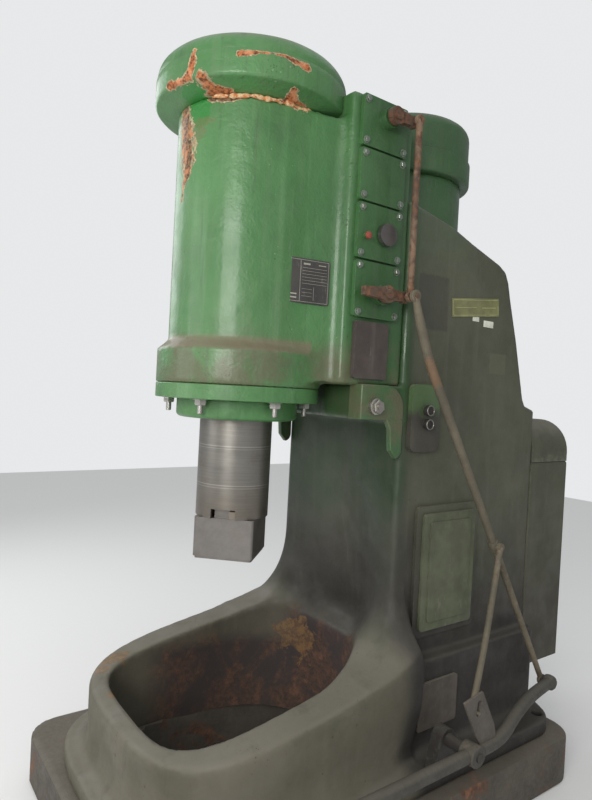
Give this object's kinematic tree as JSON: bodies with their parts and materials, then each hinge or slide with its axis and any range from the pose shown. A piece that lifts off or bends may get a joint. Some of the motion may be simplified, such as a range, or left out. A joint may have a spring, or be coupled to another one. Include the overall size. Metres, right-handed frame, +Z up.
{
  "type": "pneumatic forging hammer",
  "caption": "Single-column pneumatic forging hammer with ring base, ram and upper die, foot treadle and valve linkage; the anvil is taken out.",
  "frame": {"origin": "on the ram axis at floor level, in the middle of the opening for the anvil", "axes": "+Z up, the front of the hammer looks along -Y, the side with the valve levers is +X"},
  "size_m": [1.316, 2.3757, 2.7753],
  "materials": {
    "green_casting": "glossy green enamel over cast iron, chipped, with filler patches",
    "dusty_casting": "green enamel under a coat of grey dust",
    "bare_steel": "bare forged steel with dull scratches",
    "rusty_iron": "brown rust over worn paint",
    "dark_plate": "dark painted plate, dull",
    "olive_plate": "bare olive plate, faded"
  },
  "bodies": {
    "frame": {"sole_plate": "rusty_iron", "base_ring": "dusty_casting", "column_case": "dusty_casting", "cylinder_block": "green_casting", "ram_cylinder_cap": "green_casting", "compressor_cap": "green_casting", "gland_flange": "green_casting", "gland_ring": "green_casting", "chest_cover_upper": "green_casting", "chest_cover_plain": "green_casting", "chest_cover_hand": "green_casting", "chest_cover_lower": "green_casting", "chest_patch": "dark_plate", "treadle_bracket": "dusty_casting", "clamp_bolt_near": "bare_steel", "clamp_bolt_far": "bare_steel", "oil_panel": "dusty_casting", "door_frame_near": "dusty_casting", "door_near": "dusty_casting", "door_frame_far": "dusty_casting", "door_far": "dusty_casting", "side_hatch": "dark_plate", "belt_guard": "dusty_casting", "guard_crown": "dusty_casting", "name_plate": "dark_plate", "side_plate": "olive_plate"},
    "ram_body": {"ram": "bare_steel", "upper_die": "bare_steel", "die_key": "rusty_iron"},
    "treadle": {"treadle_bar": "rusty_iron", "slotted_plate": "rusty_iron"},
    "upper_lever": {"upper_valve_lever": "rusty_iron"},
    "lower_lever": {"lower_valve_lever": "rusty_iron"},
    "link_rod": {"valve_link_rod": "rusty_iron"},
    "pull_rod": {"pull_rod": "rusty_iron", "branch_rod": "rusty_iron"},
    "hand_disc": {"hand_disc": "dark_plate"}
  },
  "joints": [
    {"name": "ram_slide", "type": "slide", "parent": "frame", "child": "ram_body", "axis": [0, 0, 1], "range_m": [-0.22, 0.33]},
    {"name": "treadle_swing", "type": "hinge", "parent": "frame", "child": "treadle", "pos_m": [0.66, 0.64, 0.355], "axis": [1, 0, 0], "range_deg": [0, 2.2]},
    {"name": "lower_lever_turn", "type": "hinge", "parent": "frame", "child": "lower_lever", "pos_m": [0.4, 0.348, 1.96], "axis": [1, 0, 0], "range_deg": [0, 18.2]},
    {"name": "upper_lever_turn", "type": "hinge", "parent": "frame", "child": "upper_lever", "pos_m": [0.4, 0.348, 2.59], "axis": [1, 0, 0], "range_deg": [0, 18.2]},
    {"name": "link_rod_pivot", "type": "hinge", "parent": "upper_lever", "child": "link_rod", "pos_m": [0.44, 0.433, 2.59], "axis": [1, 0, 0], "range_deg": [-18.2, 0]},
    {"name": "pull_rod_pivot", "type": "hinge", "parent": "lower_lever", "child": "pull_rod", "pos_m": [0.466, 0.433, 1.96], "axis": [1, 0, 0], "range_deg": [-18.2, 0]},
    {"name": "hand_disc_turn", "type": "hinge", "parent": "frame", "child": "hand_disc", "pos_m": [0.38, 0.365, 2.178], "axis": [1, 0, 0], "range_deg": [-40, 40]}
  ],
  "couplings": [
    {"joint": "lower_lever_turn", "follows": "treadle_swing", "ratio": 8.2271},
    {"joint": "upper_lever_turn", "follows": "treadle_swing", "ratio": 8.2271},
    {"joint": "link_rod_pivot", "follows": "treadle_swing", "ratio": -8.2271},
    {"joint": "pull_rod_pivot", "follows": "treadle_swing", "ratio": -8.1876}
  ]
}
